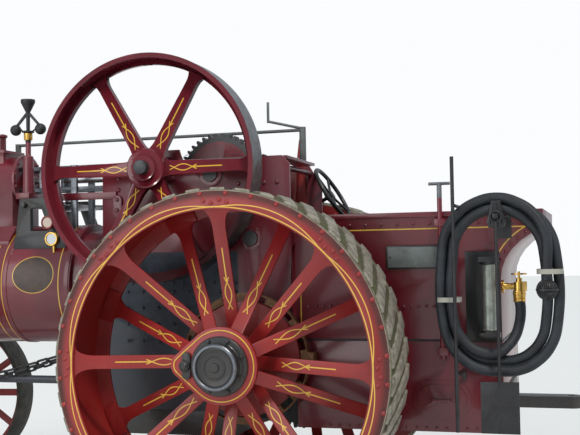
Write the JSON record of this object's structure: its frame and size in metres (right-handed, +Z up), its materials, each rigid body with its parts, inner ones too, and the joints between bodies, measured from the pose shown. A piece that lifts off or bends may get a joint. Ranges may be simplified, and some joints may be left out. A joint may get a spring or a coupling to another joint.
{
  "type": "steam traction engine",
  "caption": "Full-size agricultural steam traction engine with spoked iron wheels, open crank motion, side flywheel, geared road drive, tender and a coiled suction hose.",
  "frame": {"origin": "on the ground under the middle of the whole engine", "axes": "+X forward along the boiler, +Y to the engine's left, the flywheel side, +Z up"},
  "size_m": [5.32, 2.2, 3.15],
  "materials": {
    "maroon_paint": "gloss",
    "red_paint": "gloss",
    "black_paint": "satin",
    "slate_paint": "satin",
    "bright_steel": "brushed",
    "dark_iron": "oiled",
    "gear_iron": "oiled",
    "brass": "polished",
    "brake_wood": "worn",
    "hose_rubber": "matt"
  },
  "bodies": {
    "root": {"boiler_barrel": "maroon_paint", "smokebox": "black_paint", "chimney": "black_paint", "firebox": "slate_paint", "ashpan": "black_paint", "hornplate_left": "maroon_paint", "hornplate_right": "maroon_paint", "cylinder_block": "maroon_paint", "motion_bracket": "black_paint", "slide_bars": "bright_steel", "crosshead": "bright_steel", "governor_stand": "maroon_paint", "brake_band": "brake_wood", "brake_column": "maroon_paint", "tender_side_left": "maroon_paint", "tender_side_right": "maroon_paint", "tender_back": "maroon_paint", "tender_tank": "maroon_paint", "footplate": "dark_iron", "drawbar": "black_paint", "rope_guide": "black_paint", "hose_hook": "black_paint", "hose_coil": "hose_rubber", "hose_strainer": "black_paint", "hose_valve": "brass", "hose_tail": "hose_rubber", "valve_gear": "bright_steel", "fire_irons": "dark_iron", "regulator_gear": "bright_steel", "backhead_fittings": "brass", "reversing_gear": "red_paint", "steering_column": "black_paint", "steering_chains": "dark_iron", "perch_bracket": "black_paint", "feed_pipe": "black_paint"},
    "smokebox_door": {"smokebox_door": "black_paint"},
    "firehole_door": {"firehole_door": "dark_iron"},
    "governor": {"governor_head": "dark_iron"},
    "crank": {"crankshaft": "bright_steel", "flywheel": "maroon_paint"},
    "connecting_rod": {"connecting_rod": "bright_steel"},
    "eccentric_ahead": {"eccentric_rod_ahead": "bright_steel"},
    "eccentric_astern": {"eccentric_rod_astern": "bright_steel"},
    "second_shaft": {"second_shaft": "gear_iron"},
    "third_shaft": {"third_shaft": "gear_iron"},
    "rear_wheel_left": {"rear_rim_left": "red_paint", "rear_spokes_left": "red_paint", "rear_cap_left": "black_paint", "brake_drum": "red_paint"},
    "rear_wheel_right": {"rear_axle": "gear_iron", "rear_rim_right": "red_paint", "rear_spokes_right": "red_paint", "rear_cap_right": "black_paint"},
    "steering_wheel": {"steering_wheel": "black_paint"},
    "front_axle": {"front_axle": "black_paint"},
    "front_wheel_left": {"front_wheel_left": "red_paint"},
    "front_wheel_right": {"front_wheel_right": "red_paint"}
  },
  "joints": [
    {"name": "rear_left_spin", "type": "hinge", "parent": "root", "child": "rear_wheel_left", "pos_m": [-0.76, 0.85, 0.99], "axis": [0, 1, 0], "continuous": true},
    {"name": "rear_right_spin", "type": "hinge", "parent": "root", "child": "rear_wheel_right", "pos_m": [-0.76, -0.85, 0.99], "axis": [0, 1, 0], "continuous": true},
    {"name": "third_shaft_spin", "type": "hinge", "parent": "root", "child": "third_shaft", "pos_m": [-0.734, 0, 1.705], "axis": [0, 1, 0], "continuous": true},
    {"name": "second_shaft_spin", "type": "hinge", "parent": "root", "child": "second_shaft", "pos_m": [-0.48, 0, 2.11], "axis": [0, 1, 0], "continuous": true},
    {"name": "crank_spin", "type": "hinge", "parent": "root", "child": "crank", "pos_m": [-0.123, 0, 2.15], "axis": [0, 1, 0], "continuous": true},
    {"name": "big_end_turn", "type": "hinge", "parent": "crank", "child": "connecting_rod", "pos_m": [0.029, 0, 2.15], "axis": [0, 1, 0], "continuous": true},
    {"name": "ahead_strap_turn", "type": "hinge", "parent": "crank", "child": "eccentric_ahead", "pos_m": [-0.14202, -0.178, 2.19078], "axis": [0, 1, 0], "continuous": true},
    {"name": "astern_strap_turn", "type": "hinge", "parent": "crank", "child": "eccentric_astern", "pos_m": [-0.14202, -0.226, 2.10922], "axis": [0, 1, 0], "continuous": true},
    {"name": "governor_spin", "type": "hinge", "parent": "root", "child": "governor", "pos_m": [0.92, 0.205, 2.4], "axis": [0, 0, 1], "continuous": true},
    {"name": "steering_wheel_spin", "type": "hinge", "parent": "root", "child": "steering_wheel", "pos_m": [-1.056, -0.405, 2.008], "axis": [0.8517, 0, -0.524], "continuous": true},
    {"name": "steer", "type": "hinge", "parent": "root", "child": "front_axle", "pos_m": [2.09, 0, 0.57], "axis": [0, 0, 1], "range_deg": [-25, 25], "deforming": ["steering_chains"]},
    {"name": "front_left_spin", "type": "hinge", "parent": "front_axle", "child": "front_wheel_left", "pos_m": [2.09, 0.72, 0.57], "axis": [0, 1, 0], "continuous": true},
    {"name": "front_right_spin", "type": "hinge", "parent": "front_axle", "child": "front_wheel_right", "pos_m": [2.09, -0.72, 0.57], "axis": [0, 1, 0], "continuous": true},
    {"name": "smokebox_door_swing", "type": "hinge", "parent": "root", "child": "smokebox_door", "pos_m": [2.414, 0.364, 1.43], "axis": [0, 0, 1], "range_deg": [0, 120]},
    {"name": "firehole_door_swing", "type": "hinge", "parent": "root", "child": "firehole_door", "pos_m": [-0.642, 0.212, 1.33], "axis": [0, 0, 1], "range_deg": [-90, 0]}
  ],
  "couplings": [
    {"joint": "third_shaft_spin", "follows": "rear_right_spin", "ratio": -4.2857},
    {"joint": "second_shaft_spin", "follows": "rear_right_spin", "ratio": 6.0714},
    {"joint": "big_end_turn", "follows": "crank_spin", "ratio": -1},
    {"joint": "ahead_strap_turn", "follows": "crank_spin", "ratio": -1},
    {"joint": "astern_strap_turn", "follows": "crank_spin", "ratio": -1}
  ]
}
